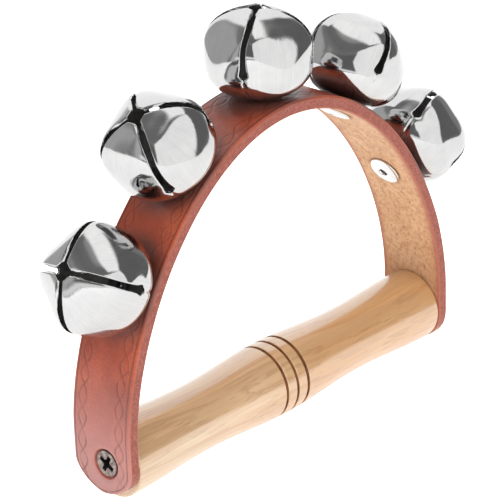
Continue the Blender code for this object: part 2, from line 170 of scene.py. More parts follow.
# Grip
GRIP_END_RADIUS = 11.7 * MM
GRIP_WAIST_RADIUS = 10.45 * MM
GRIP_MIDDLE_RADIUS = 12.0 * MM
GROOVE_SPACING = 4.8 * MM
GROOVE_HALF = 0.65 * MM
GROOVE_DEPTH = 0.7 * MM
GROOVED_HALF = GROOVE_SPACING + 1.2 * MM
GRIP_LIP = 1.2 * MM  # length of the rounding at each end


# ---- small helpers

def smooth_step(t):
    t = np.clip(t, 0.0, 1.0)
    return t * t * (3 - 2 * t)


def rise(value, start, over):
    """0 up to the start, then smoothly to 1."""
    return smooth_step((value - start) / over)


def fade(value, start, over):
    """1 up to the start, then smoothly to 0."""
    return 1 - smooth_step((value - start) / over)


def ridge(value, middle, width):
    return np.exp(-((value - middle) / width) ** 2)


def bezier(points, t):
    """Cubic curve through the first and last of four points, for an array of t."""
    t = np.asarray(t, float)[:, None]
    a, b, c, d = (np.array(point, float) for point in points)
    return (1 - t) ** 3 * a + 3 * (1 - t) ** 2 * t * b + 3 * (1 - t) * t ** 2 * c + t ** 3 * d


def rumple(points, scale, seed=0.0):
    """Smooth noise of about -1 to 1 at each point of an array of any shape."""
    offset = Vector((seed * 7.31, seed * 3.17, seed * 5.53))
    values = [noise.noise(Vector(p) * scale + offset) for p in points.reshape(-1, 3)]
    return np.array(values).reshape(points.shape[:-1])


def linked(name, data):
    obj = bpy.data.objects.new(name, data)
    bpy.context.scene.collection.objects.link(obj)
    return obj


def new_object(name, mesh, place=None, sharp=40):
    """An object at the origin whose mesh is moved to its place, as the CAD's own are."""
    if place is not None:
        mesh.transform(place)
    obj = linked(name, mesh)
    mesh.shade_smooth()
    mesh.set_sharp_from_angle(angle=math.radians(sharp))
    return obj


def mesh_of(name, bm):
    mesh = bpy.data.meshes.new(name)
    bm.to_mesh(mesh)
    bm.free()
    return mesh


def mesh_from(name, vertices, faces, weld=0.0):
    """A mesh whose faces point outwards, with vertices closer than weld joined."""
    mesh = bpy.data.meshes.new(name)
    mesh.from_pydata([tuple(v) for v in vertices], [], [tuple(f) for f in faces])
    bm = bmesh.new()
    bm.from_mesh(mesh)
    if weld:
        bmesh.ops.remove_doubles(bm, verts=bm.verts, dist=weld)
    bmesh.ops.recalc_face_normals(bm, faces=bm.faces)
    bm.to_mesh(mesh)
    bm.free()
    return mesh


def grid_faces(rows, columns, wrap=False):
    """Quads of a grid of vertices numbered row by row."""
    i = np.arange(rows - 1)[:, None]
    j = np.arange(columns if wrap else columns - 1)[None, :]
    k = (j + 1) % columns
    quads = np.stack([i * columns + j, i * columns + k, (i + 1) * columns + k, (i + 1) * columns + j], -1)
    return quads.reshape(-1, 4)


def turned(name, profile, segments, ripple=None):
    """Turn (radius, height) points about Z. ripple(angle, radius, height) may change the radius."""
    angle = np.linspace(0, math.tau, segments, endpoint=False)
    radius = np.array([p[0] for p in profile])[:, None] * np.ones(segments)
    height = np.array([p[1] for p in profile])[:, None] * np.ones(segments)
    if ripple is not None:
        radius = ripple(angle[None, :], radius, height)
    points = np.stack([radius * np.cos(angle), radius * np.sin(angle), height], -1)
    closed = profile[0] == profile[-1]
    faces = grid_faces(len(profile), segments, wrap=True)
    if closed:
        last = (len(profile) - 1) * segments
        faces = np.where(faces >= last, faces - last, faces)
        points = points[:-1]
    return mesh_from(name, points.reshape(-1, 3), faces, weld=1e-7)


def rounded(points, radius, steps=3):
    """The open profile with each inner corner rounded off."""
    result = [points[0]]
    for before, corner, after in zip(points, points[1:], points[2:]):
        a, b, c = (np.array(p, float) for p in (before, corner, after))
        reach = min(radius, 0.45 * np.linalg.norm(a - b), 0.45 * np.linalg.norm(c - b))
        start = b + (a - b) / np.linalg.norm(a - b) * reach
        stop = b + (c - b) / np.linalg.norm(c - b) * reach
        for t in np.linspace(0, 1, steps + 1):
            result.append(tuple((1 - t) ** 2 * start + 2 * (1 - t) * t * b + t ** 2 * stop))
    result.append(points[-1])
    return result


# ---- materials

class Nodes:
    """A new material's node tree, or the world's, with short calls that add and link nodes."""

    def __init__(self, name="", tree=None):
        self.tree = tree
        if tree is None:
            self.material = bpy.data.materials.new(name)
            self.material.use_nodes = True
            self.tree = self.material.node_tree
            self.shader = self.tree.nodes["Principled BSDF"]

    def add(self, kind, **settings):
        node = self.tree.nodes.new(kind)
        for key, value in settings.items():
            setattr(node, key, value)
        return node

    def link(self, source, target):
        self.tree.links.new(source, target)

    def place(self, scale=(1.0, 1.0, 1.0), turn=(0.0, 0.0, 0.0)):
        """Object coordinates in units of 1 / scale metres."""
        coordinates = self.add("ShaderNodeTexCoord")
        mapping = self.add("ShaderNodeMapping")
        mapping.inputs["Scale"].default_value = scale
        mapping.inputs["Rotation"].default_value = turn
        self.link(coordinates.outputs["Object"], mapping.inputs["Vector"])
        return mapping.outputs["Vector"]

    def noise(self, vector, scale, detail=4.0, rough=0.55, distortion=0.0):
        node = self.fill(self.add("ShaderNodeTexNoise"), Vector=vector, Scale=scale, Detail=detail,
                         Roughness=rough, Distortion=distortion)
        return node.outputs["Fac"]

    def part(self, vector, axis):
        return self.fill(self.add("ShaderNodeSeparateXYZ"), Vector=vector).outputs[axis]

    def cells(self, vector, scale):
        node = self.fill(self.add("ShaderNodeTexVoronoi"), Vector=vector, Scale=scale)
        return node.outputs["Distance"]

    def ramp(self, value, stops):
        node = self.add("ShaderNodeValToRGB")
        elements = node.color_ramp.elements
        while len(elements) < len(stops):
            elements.new(0.5)
        for element, (place, colour) in zip(elements, stops):
            element.position = place
            element.color = (*colour, 1.0) if isinstance(colour, tuple) else (colour,) * 3 + (1.0,)
        self.link(value, node.inputs["Fac"])
        return node.outputs["Color"]

    def level(self, value, low, high, start=0.0, stop=1.0):
        """Maps a value from low..high to start..stop, clamped."""
        node = self.fill(self.add("ShaderNodeMapRange"), Value=value, From_Min=low, From_Max=high,
                         To_Min=start, To_Max=stop)
        return node.outputs["Result"]

    def mix(self, factor, a, b):
        node = self.fill(self.add("ShaderNodeMix", data_type="RGBA"), Factor=factor, A=a, B=b)
        return node.outputs["Result"]

    def math(self, operation, a, b=0.0):
        node = self.add("ShaderNodeMath", operation=operation)
        self.give(node.inputs[0], a)
        self.give(node.inputs[1], b)
        return node.outputs["Value"]

    def vector_math(self, operation, vector, other=None):
        node = self.add("ShaderNodeVectorMath", operation=operation)
        self.link(vector, node.inputs[0])
        if other is not None:
            node.inputs[1].default_value = other
        return node

    def give(self, socket, value):
        if isinstance(value, bpy.types.NodeSocket):
            self.link(value, socket)
        elif hasattr(value, "__len__"):
            socket.default_value = (*value, 1.0) if len(value) == 3 else value
        else:
            socket.default_value = value

    def bump(self, height, distance, strength=1.0, after=None):
        node = self.fill(self.add("ShaderNodeBump"), Strength=strength, Distance=distance, Height=height)
        if after is not None:
            self.link(after, node.inputs["Normal"])
        return node.outputs["Normal"]

    def attribute(self, name):
        return self.add("ShaderNodeAttribute", attribute_name=name).outputs["Fac"]

    def fill(self, node, **sockets):
        """Gives a node's inputs their values or links, by name with _ for a space."""
        for name, value in sockets.items():
            self.give(node.inputs[name.replace("_", " ")], value)
        return node

    def finish(self, **sockets):
        self.fill(self.shader, **sockets)
        return self.material


def leather_face():
    """Glazed chestnut leather: mottled dye, pebbled grain, dark tooled lines, painted sheen that makes it
    paler towards the feet, painted shade round the bells.
    """
    n = Nodes("leather_face")
    place = n.place()
    patches = n.noise(place, 45.0, 3.0, 0.6)
    fine = n.noise(place, 1100.0, 3.0, 0.6)
    colour = n.ramp(patches, [(0.34, (0.270, 0.042, 0.016)), (0.50, (0.380, 0.065, 0.025)),
                              (0.64, (0.455, 0.092, 0.037))])
    colour = n.mix(n.level(fine, 0.42, 0.66, 0.0, 0.45), colour, (0.22, 0.036, 0.018))
    # Painted sheen: paler and greyer low on the feet, where the glazed face catches a grazing reflection.
    colour = n.mix(n.attribute("foot"), colour, (0.62, 0.38, 0.37))
    # Painted shade: the face turns dark grey-brown around each bell, where the bells cast shade.
    colour = n.mix(n.attribute("shaded"), colour, (0.095, 0.046, 0.040))
    colour = n.mix(n.attribute("tooling"), colour, (0.075, 0.018, 0.013))
    colour = n.mix(n.attribute("rubbed"), colour, (0.66, 0.24, 0.14))
    pebbles = n.cells(place, 1250.0)
    creases = n.noise(place, 420.0, 5.0, 0.65, 0.6)
    grain = n.bump(pebbles, 0.00008, 0.55)
    grain = n.bump(creases, 0.00014, 0.65, after=grain)
    roughness = n.level(creases, 0.3, 0.7, 0.32, 0.46)
    return n.finish(Base_Color=colour, Roughness=roughness, Normal=grain,
                    Specular_IOR_Level=0.35, Coat_Weight=0.3, Coat_Roughness=0.28)


def leather_edge():
    """Cut and dyed edge: pressed fibres in layers along the strap, undyed at the tips of the feet."""
    n = Nodes("leather_edge")
    place = n.place()
    fibres = n.noise(place, 1600.0, 4.0, 0.7)
    tufts = n.noise(place, 480.0, 3.0, 0.6)
    colour = n.ramp(fibres, [(0.36, (0.25, 0.054, 0.036)), (0.50, (0.34, 0.084, 0.054)),
                             (0.66, (0.44, 0.145, 0.100))])
    colour = n.mix(n.level(tufts, 0.48, 0.66, 0.0, 0.35), colour, (0.24, 0.045, 0.028))
    tan = n.ramp(fibres, [(0.35, (0.36, 0.20, 0.09)), (0.65, (0.74, 0.54, 0.33))])
    colour = n.mix(n.attribute("raw"), colour, tan)
    relief = n.bump(fibres, 0.00020, 0.7)
    return n.finish(Base_Color=colour, Roughness=0.70, Normal=relief, Sheen_Weight=0.15)


def leather_back():
    """Raw flesh side: tan suede with short dark fibres, and painted shade that darkens it low on the feet.
    """
    n = Nodes("leather_back")
    place = n.place()
    tone = n.noise(place, 60.0, 4.0, 0.6)
    nap = n.noise(place, 1500.0, 4.0, 0.7)
    hairs = n.noise(n.place((1.0, 1.6, 0.55), (0.3, 0.2, 0.4)), 900.0, 2.0, 0.5, 1.2)
    clumps = n.noise(place, 640.0, 4.0, 0.6)
    colour = n.ramp(tone, [(0.35, (0.64, 0.345, 0.165)), (0.65, (0.80, 0.500, 0.275))])
    colour = n.mix(n.level(clumps, 0.46, 0.64, 0.0, 0.60), colour, (0.46, 0.190, 0.075))
    colour = n.mix(n.level(nap, 0.50, 0.68, 0.0, 0.50), colour, (0.40, 0.175, 0.075))
    colour = n.mix(n.level(hairs, 0.60, 0.70, 0.0, 0.70), colour, (0.24, 0.075, 0.035))
    # Painted shade: darker low on the feet, near the grip.
    colour = n.mix(n.attribute("foot"), colour, (0.36, 0.155, 0.075))
    colour = n.mix(n.attribute("bleed"), colour, (0.42, 0.120, 0.070))
    relief = n.bump(nap, 0.00022, 0.8)
    relief = n.bump(clumps, 0.00030, 0.6, after=relief)
    return n.finish(Base_Color=colour, Roughness=0.88, Normal=relief, Sheen_Weight=0.25,
                    Sheen_Roughness=0.5)


def lacquered_maple():
    """Pale turned hardwood, browner towards one end: growth lines and fibre along it, thick lacquer."""
    n = Nodes("lacquered_maple")
    drift = n.noise(n.place((9.0, 34.0, 34.0)), 1.0, 2.0, 0.5)
    heart = n.level(n.part(n.place(), "X"), -0.045, 0.012)
    rings = n.noise(n.place((1.6, 46.0, 46.0), (0.0, 0.05, 0.04)), 1.9, 5.0, 0.60, 0.7)
    streak = n.noise(n.place((16.0, 480.0, 480.0)), 1.0, 4.0, 0.6)
    pore = n.noise(n.place((120.0, 1700.0, 1700.0)), 1.0, 1.0, 0.5)
    colour = n.ramp(rings, [(0.34, (0.44, 0.240, 0.105)), (0.46, (0.600, 0.385, 0.200)),
                            (0.56, (0.690, 0.500, 0.295)), (0.68, (0.745, 0.580, 0.385))])
    brown = n.math("MULTIPLY", heart, n.level(drift, 0.38, 0.62, 0.25, 1.0))
    colour = n.mix(n.math("MULTIPLY", brown, 0.75), colour, (0.62, 0.300, 0.095))
    growth = n.ramp(rings, [(0.425, 0.0), (0.442, 0.38), (0.460, 0.0),
                            (0.512, 0.0), (0.530, 0.45), (0.550, 0.0),
                            (0.595, 0.0), (0.609, 0.32), (0.628, 0.0)])
    colour = n.mix(growth, colour, (0.36, 0.165, 0.060))
    colour = n.mix(n.level(streak, 0.42, 0.68, 0.0, 0.38), colour, (0.52, 0.270, 0.110))
    colour = n.mix(n.level(pore, 0.68, 0.78, 0.0, 0.45), colour, (0.28, 0.120, 0.045))
    relief = n.bump(streak, 0.00004, 0.3)
    return n.finish(Base_Color=colour, Roughness=0.36, Normal=relief, Specular_IOR_Level=0.5,
                    Coat_Weight=1.0, Coat_Roughness=0.20, Coat_IOR=2.1)


def groove_dark():
    """Dark brown wood at the bottom of a groove, without lacquer."""
    n = Nodes("groove_dark")
    groove_mottle = n.noise(n.place((900.0, 220.0, 220.0)), 1.0, 4.0, 0.6)
    colour = n.ramp(groove_mottle, [(0.35, (0.10, 0.036, 0.014)), (0.70, (0.30, 0.125, 0.050))])
    return n.finish(Base_Color=colour, Roughness=0.75, Specular_IOR_Level=0.2)


def nickel_plate(seed, frame):
    """Bright plate over pressed steel: draw lines that spread from the rivet, patches of softer polish."""
    n = Nodes("nickel_plate_%d" % seed)
    place = n.place()
    cloud = n.noise(place, 130.0 + 11 * seed, 3.0, 0.6)
    into_bell = frame.inverted()
    local = n.add("ShaderNodeMapping")
    n.link(place, local.inputs["Vector"])
    local.inputs["Location"].default_value = into_bell.translation
    local.inputs["Rotation"].default_value = into_bell.to_euler()
    flat = n.vector_math("MULTIPLY", local.outputs[0], (1.0, 1.0, 0.05)).outputs[0]
    round_bell = n.vector_math("NORMALIZE", flat).outputs[0]
    drawn = n.noise(round_bell, 22.0 + seed, 5.0, 0.7, 0.5)
    roughness = n.level(cloud, 0.35, 0.75, 0.045, 0.13)
    tint = n.ramp(cloud, [(0.3, (0.545, 0.545, 0.55)), (0.7, (0.605, 0.602, 0.595))])
    tint = n.mix(n.level(drawn, 0.40, 0.68, 0.0, 0.22), tint, (0.40, 0.40, 0.40))
    relief = n.bump(drawn, 0.00002, 0.45)
    relief = n.bump(cloud, 0.00006, 0.40, after=relief)
    return n.finish(Base_Color=tint, Metallic=1.0, Roughness=roughness, Normal=relief)


def bell_inside():
    """Inner side of a bell: mottled dark grey, half metallic, far darker than the plated outside."""
    n = Nodes("bell_inside")
    stain = n.noise(n.place(), 260.0, 4.0, 0.6)
    colour = n.ramp(stain, [(0.3, (0.16, 0.155, 0.15)), (0.7, (0.26, 0.25, 0.245))])
    return n.finish(Base_Color=colour, Metallic=0.3, Roughness=0.5)


def bright_steel(name, base, rough):
    """Zinc-bright steel with fine turning marks and small knocks."""
    n = Nodes(name)
    place = n.place()
    marks = n.noise(place, 700.0, 4.0, 0.6)
    knocks = n.cells(place, 420.0)
    colour = n.ramp(marks, [(0.3, tuple(c * 0.88 for c in base)), (0.7, base)])
    relief = n.bump(marks, 0.00002, 0.4)
    relief = n.bump(knocks, 0.00003, 0.25, after=relief)
    roughness = n.level(marks, 0.3, 0.7, rough * 0.8, rough * 1.3)
    return n.finish(Base_Color=colour, Metallic=1.0, Roughness=roughness, Normal=relief)


def antique_screw():
    """Dark bronzed steel, rubbed brighter in patches."""
    n = Nodes("antique_screw")
    place = n.place()
    stain = n.noise(place, 700.0, 5.0, 0.65)
    rub = n.noise(place, 1900.0, 3.0, 0.6)
    colour = n.ramp(stain, [(0.34, (0.10, 0.078, 0.070)), (0.50, (0.25, 0.200, 0.180)),
                            (0.64, (0.40, 0.335, 0.305))])
    colour = n.mix(n.level(rub, 0.52, 0.66, 0.0, 0.5), colour, (0.50, 0.44, 0.41))
    relief = n.bump(stain, 0.00004, 0.6)
    return n.finish(Base_Color=colour, Metallic=0.85, Roughness=n.level(rub, 0.3, 0.7, 0.32, 0.55),
                    Normal=relief)


def screw_recess_shade():
    """Painted shade: near-black paint down in the driver's cross, where the recess lies in shade."""
    n = Nodes("screw_recess_shade")
    stain = n.noise(n.place(), 1500.0, 4.0, 0.65)
    colour = n.ramp(stain, [(0.35, (0.008, 0.007, 0.007)), (0.75, (0.035, 0.030, 0.028))])
    return n.finish(Base_Color=colour, Metallic=0.4, Roughness=0.45)


# ---- the strap

def half_span():
    """Middle of the strap's thickness at the feet, from the grip's middle."""
    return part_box("leather_strap")[1].x - STRAP_THICKNESS / 2


def strap_half_width():
    low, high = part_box("leather_strap")
    return (high.y - low.y) / 2


def arch_table():
    """Distance from the crown, x, z and outward normal along the right half, down to the grip's axis."""
    span = half_span()
    curve = bezier(((0.0, CROWN_HEIGHT), (CROWN_PULL, CROWN_HEIGHT), (span, FOOT_RISE + FOOT_PULL),
                    (span, FOOT_RISE)), np.linspace(0, 1, 1200))
    foot = np.stack([np.full(60, span), np.linspace(FOOT_RISE, 0.0, 61)[1:]], -1)
    line = np.vstack([curve, foot])
    along = np.gradient(line, axis=0)
    along /= np.linalg.norm(along, axis=1)[:, None]
    distance = np.concatenate([[0], np.cumsum(np.linalg.norm(np.diff(line, axis=0), axis=1))])
    return distance, line, np.stack([-along[:, 1], along[:, 0]], -1)


ARCH_DISTANCE, ARCH_LINE, ARCH_NORMAL = arch_table()
ARCH_HALF = ARCH_DISTANCE[-1]


def arch_at(s):
    """(x, z) and outward normal for an array of signed distances from the crown."""
    side = np.sign(s) + (s == 0)
    point = np.stack([np.interp(abs(s), ARCH_DISTANCE, ARCH_LINE[:, k]) for k in (0, 1)], -1)
    normal = np.stack([np.interp(abs(s), ARCH_DISTANCE, ARCH_NORMAL[:, k]) for k in (0, 1)], -1)
    normal /= np.linalg.norm(normal, axis=-1)[..., None]
    point[..., 0] *= side
    normal[..., 0] *= side
    return point, normal


def strap_columns():
    """Places across the strap from -1 to 1, closest together at the rounded edges and the tooling."""
    half = strap_half_width()
    edge = [0.0, 0.03, 0.10, 0.22, 0.40, 0.62, 0.88, 1.2, 1.6]
    tooled = list(np.arange(1.95, 7.0, 0.22))
    plain = list(np.linspace(7.3, half / MM, 8))
    side = 1 - np.array(edge + tooled + plain) * MM / half
    return np.concatenate([-side, side[::-1][1:]])


def foot_reach(side, down, aside):
    """From the grip's axis to the strap's rounded end, in the direction of (down, aside)."""
    depth, power = FOOT_ENDS[side]
    size = np.maximum(np.hypot(down, aside), 1e-12)
    terms = (abs(down) / size / depth) ** power + (abs(aside) / size / strap_half_width()) ** power
    return np.maximum(terms, 1e-12) ** (-1 / power)


def strap_plan():
    """Signed distance along the arch and distance across it for each vertex of a skin.

    Past the grip's axis the rows bend into the rounded end of the foot.
    """
    half = strap_half_width()
    across = strap_columns()
    rows = int(2 * ARCH_HALF / STRAP_STEP) + 1
    along = np.linspace(-ARCH_HALF, ARCH_HALF, rows)
    s = np.repeat(along[:, None], len(across), 1)
    y = np.repeat(across[None, :] * half, rows, 0)
    ends = np.linspace(0, 1, 25)[1:, None]
    down = ends * np.sqrt(1 - across ** 2 / 2)
    aside = across * np.sqrt(1 - ends ** 2 / 2)
    for side in (-1, 1):
        reach = foot_reach(side, down, aside)
        foot_s = side * (ARCH_HALF + reach * down)
        foot_y = reach * aside
        s = np.vstack([s, foot_s] if side > 0 else [foot_s[::-1], s])
        y = np.vstack([y, foot_y] if side > 0 else [foot_y[::-1], y])
    return s, y


def edge_distance(s, y):
    """How far each place of the plan lies inside the strap's outline."""
    past = np.maximum(abs(s) - ARCH_HALF, 0.0)
    end = np.where(s < 0, foot_reach(-1, past, y), foot_reach(1, past, y))
    return np.where(past > 0, end, strap_half_width()) - np.hypot(past, y)


def chain_tooling(s, y):
    """0 to 1 where a place lies in one of the two waved lines of the chain along each margin."""
    flat = np.stack([s, y, np.zeros_like(s)], -1)
    strayed = rumple(flat, 110.0, 5)
    middle = strap_half_width() - CHAIN_INSET + 0.45 * MM * strayed
    wave = np.sin(math.pi * (s + 1.2 * MM * strayed) / CHAIN_LOOP)
    depth = np.zeros_like(s)
    for sign in (-1, 1):
        gap = abs(y) - middle - sign * CHAIN_SWING * wave
        depth = np.maximum(depth, np.exp(-(gap / TOOL_WIDTH) ** 2))
    pressed = 0.75 + 0.6 * rumple(flat, 260.0, 6)
    return np.clip(depth * pressed, 0, 1)


def round_over(distance, radius):
    """Drop of a surface near an edge of this rounding."""
    inside = np.clip(radius - distance, 0, radius)
    return radius - np.sqrt(np.maximum(radius ** 2 - inside ** 2, 0.0))


def station_places():
    """Each bell's (distance along the arch, distance across)."""
    places = []
    for number in BELL_TURNS:
        seat = Vector(JOINTS["bell_%d_swivel" % number]["pos_m"])
        axis = Vector(JOINTS["bell_%d_swivel" % number]["axis"])
        middle = seat - axis * STRAP_THICKNESS / 2
        k = np.argmin(np.hypot(ARCH_LINE[:, 0] - abs(middle.x), ARCH_LINE[:, 1] - middle.z))
        places.append((math.copysign(ARCH_DISTANCE[k], middle.x), seat.y))
    return places


def strap_point(s, y, height):
    """World places at a height above the strap's middle surface."""
    inside = np.clip(s, -ARCH_HALF, ARCH_HALF)
    past = abs(s) - abs(inside)
    line, normal = arch_at(inside)
    x = line[..., 0] + normal[..., 0] * height
    z = line[..., 1] + normal[..., 1] * height - past
    return np.stack([x, y, z], -1)


def screw_place(side):
    """A screw's axis where it meets the foot's outer face."""
    low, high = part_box("foot_screw_left" if side < 0 else "foot_screw_right")
    return Vector((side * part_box("leather_strap")[1].x, (low.y + high.y) / 2, (low.z + high.z) / 2))


def add_strap():
    s, y = strap_plan()
    edge = edge_distance(s, y)
    half = STRAP_THICKNESS / 2
    stations = station_places()
    screws = {side: screw_place(side) for side in (-1, 1)}
    feet = [(side * (ARCH_HALF - place.z), place.y) for side, place in screws.items()]
    flat = np.stack([s, y, np.zeros_like(s)], -1)

    tooling = chain_tooling(s, y) * rise(edge, 0.9 * MM, 0.6 * MM)
    crease = ridge(edge, 1.15 * MM, 0.17 * MM)
    handling = (rumple(flat, 70.0, 1) * 0.10 + rumple(flat, 260.0, 2) * 0.035) * MM
    outer = half - round_over(edge, OUTER_ROUND) - TOOL_DEPTH * tooling - 0.16 * MM * crease + handling
    inner = -half + round_over(edge, INNER_ROUND) + handling * 0.6
    nap = (rumple(flat, 900.0, 3) * 0.05 + rumple(flat, 330.0, 4) * 0.05) * MM
    inner = inner + nap * smooth_step(edge / MM)
    for place in stations:
        away = np.hypot(s - place[0], y - place[1])
        outer -= 0.18 * MM * fade(away, 4.5 * MM, 3 * MM)
        inner += 0.32 * MM * (1 - smooth_step((away - FLANGE_RADIUS - 0.3 * MM) / (0.7 * MM)))
        inner -= 0.14 * MM * np.exp(-((away - FLANGE_RADIUS - 1.4 * MM) / (0.8 * MM)) ** 2)
    for place in feet:
        away = np.hypot(s - place[0], y - place[1])
        outer -= 0.16 * MM * fade(away, 4.6 * MM, 1.2 * MM)
        outer += 0.08 * MM * ridge(away, 6.3 * MM, 0.9 * MM)

    holes = [(place, SHANK_RADIUS + SEAT_GAP, SHANK_RADIUS + SEAT_GAP) for place in stations]
    wide = SCREW_HEAD_RADIUS + SCREW_COUNTERSINK
    holes += [(place, wide, SCREW_THREAD_RADIUS + SEAT_GAP) for place in feet]
    rows, columns = s.shape
    faces = grid_faces(rows, columns)
    centre_s, centre_y = s.ravel()[faces].mean(1), y.ravel()[faces].mean(1)
    keep = np.ones(len(faces), bool)
    skins = [(s.ravel().copy(), y.ravel().copy()) for _ in range(2)]
    for (hole_s, hole_y), outer_radius, inner_radius in holes:
        inside = np.hypot(centre_s - hole_s, centre_y - hole_y) < outer_radius
        rim = np.intersect1d(faces[inside], faces[~inside])
        keep &= ~inside
        for (skin_s, skin_y), radius in zip(skins, (outer_radius, inner_radius)):
            angle = np.arctan2(skin_y[rim] - hole_y, skin_s[rim] - hole_s)
            skin_s[rim] = hole_s + radius * np.cos(angle)
            skin_y[rim] = hole_y + radius * np.sin(angle)
    faces = faces[keep]
    top = strap_point(skins[0][0], skins[0][1], outer.ravel())
    bottom = strap_point(skins[1][0], skins[1][1], inner.ravel())

    vertices, quads, kinds = stitched(top, bottom, faces, edge.ravel())
    mesh = bpy.data.meshes.new("strap")
    mesh.from_pydata([tuple(v) for v in vertices], [], [tuple(q) for q in quads])
    rubbed = np.exp(-(edge / (0.5 * MM)) ** 2) * 0.15
    # Painted shade under and around each bell, full up to 9 mm from its rivet and gone at 19 mm.
    bell_shade_masks = [fade(np.hypot(s - p[0], y - p[1]), 9 * MM, 10 * MM) for p in stations]
    shaded = 0.85 * np.maximum.reduce(bell_shade_masks)
    marks = np.clip(tooling * 0.70 + crease * 0.80, 0, 1)
    # foot: painted sheen on the outer face and painted shade on the inner face, strongest at the low end
    # of each foot.
    up_foot = (ARCH_HALF - np.abs(s) + 6 * MM) / (42 * MM)
    foot = 0.42 * (1 - smooth_step(up_foot))
    bleed = 0.9 * np.exp(-(edge / (1.5 * MM)) ** 2)
    layers = {"tooling": marks, "rubbed": rubbed, "bleed": bleed, "shaded": shaded, "foot": foot}
    for name, values in layers.items():
        full = np.zeros(len(vertices), np.float32)
        full[:2 * s.size] = np.tile(values.ravel(), 2)
        add_layer(mesh, name, full)
    add_layer(mesh, "raw", raw_share(vertices))
    for material in (leather_face(), leather_edge(), leather_back()):
        mesh.materials.append(material)
    mesh.polygons.foreach_set("material_index", np.array(kinds, np.int32))
    clean_strap(mesh)
    strap = new_object("leather_arch", mesh, sharp=50)
    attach(strap, "root")
    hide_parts("leather_strap")


def add_layer(mesh, name, values):
    """A value for each vertex, which the materials read by its name."""
    mesh.attributes.new(name, "FLOAT", "POINT").data.foreach_set("value", values)


def raw_share(vertices):
    """0 to 1 towards the undyed tips of the feet."""
    ragged = np.array([noise.noise(Vector(v) * 600) for v in vertices]) * 1.5 * MM
    return smooth_step((-5.0 * MM - vertices[:, 2] + ragged) / (3 * MM)).astype(np.float32)


def stitched(top, bottom, faces, edge):
    """Two skins of one layout joined by walls of fibre along every open edge."""
    count = len(top)
    directed = np.concatenate([np.stack([faces[:, k], faces[:, (k + 1) % 4]], -1) for k in range(4)])
    known = {tuple(pair) for pair in directed.tolist()}
    border = [pair for pair in known if pair[::-1] not in known]
    border.sort()
    rings = 6
    ids = {}
    extra = []
    share = np.linspace(0, 1, rings + 2)[1:-1]
    middle = (top + bottom) / 2
    for vertex in sorted({v for pair in border for v in pair}):
        ids[vertex] = [vertex] + [count * 2 + len(extra) + k for k in range(rings)] + [vertex + count]
        outward = np.array([0.0, np.sign(middle[vertex][1]), 0.0]) if edge[vertex] < MM else np.zeros(3)
        for k, t in enumerate(share):
            point = top[vertex] * (1 - t) + bottom[vertex] * t
            fine = 0.04 * noise.noise(Vector(point) * 1500)
            swell = fine + 0.05 * noise.noise(Vector(point) * 500) - 0.05
            extra.append(point + outward * swell * MM)
    quads = [list(face) for face in faces.tolist()]
    kinds = [0] * len(quads)
    quads += [[v + count for v in face[::-1]] for face in faces.tolist()]
    kinds += [2] * len(faces)
    for a, b in border:
        for k in range(rings + 1):
            quads.append([ids[b][k], ids[a][k], ids[a][k + 1], ids[b][k + 1]])
            kinds.append(1)
    return np.vstack([top, bottom, np.array(extra)]), quads, kinds


def clean_strap(mesh):
    """Drop the vertices that the holes left loose and point the faces outwards."""
    bm = bmesh.new()
    bm.from_mesh(mesh)
    bmesh.ops.delete(bm, geom=[v for v in bm.verts if not v.link_faces], context="VERTS")
    bmesh.ops.recalc_face_normals(bm, faces=bm.faces)
    bm.to_mesh(mesh)
    bm.free()


# ---- the grip

def grip_radius(x, half_length):
    share = abs(x) / half_length
    full = np.where(share < 0.5, GRIP_MIDDLE_RADIUS, GRIP_END_RADIUS)
    return GRIP_WAIST_RADIUS + (full - GRIP_WAIST_RADIUS) * (0.5 + 0.5 * np.cos(2 * math.pi * share))


def groove_share(x):
    """0 to 1 inside the three V grooves round the middle."""
    nearest = np.minimum(np.minimum(abs(x), abs(x - GROOVE_SPACING)), abs(x + GROOVE_SPACING))
    return np.clip(1 - nearest / GROOVE_HALF, 0, 1)


def screw_frame(side):
    """Frame on a foot's outer face at its screw: +Z away from the grip."""
    return Matrix.Translation(screw_place(side)) @ Matrix.Rotation(side * math.pi / 2, 4, "Y")


def carve(obj, tool, place, crossed=False):
    """Cuts a closed tool out of an object's mesh. A crossed tool's own parts overlap."""
    cutter = new_object("cutter", tool, place)
    cut = obj.modifiers.new("cut", "BOOLEAN")
    cut.object = cutter
    cut.operation = "DIFFERENCE"
    cut.solver = "EXACT"
    cut.use_self = crossed
    bpy.context.view_layer.update()
    carved = bpy.data.meshes.new_from_object(obj.evaluated_get(bpy.context.evaluated_depsgraph_get()))
    obj.modifiers.clear()
    obj.data = carved
    bpy.data.objects.remove(cutter, do_unlink=True)


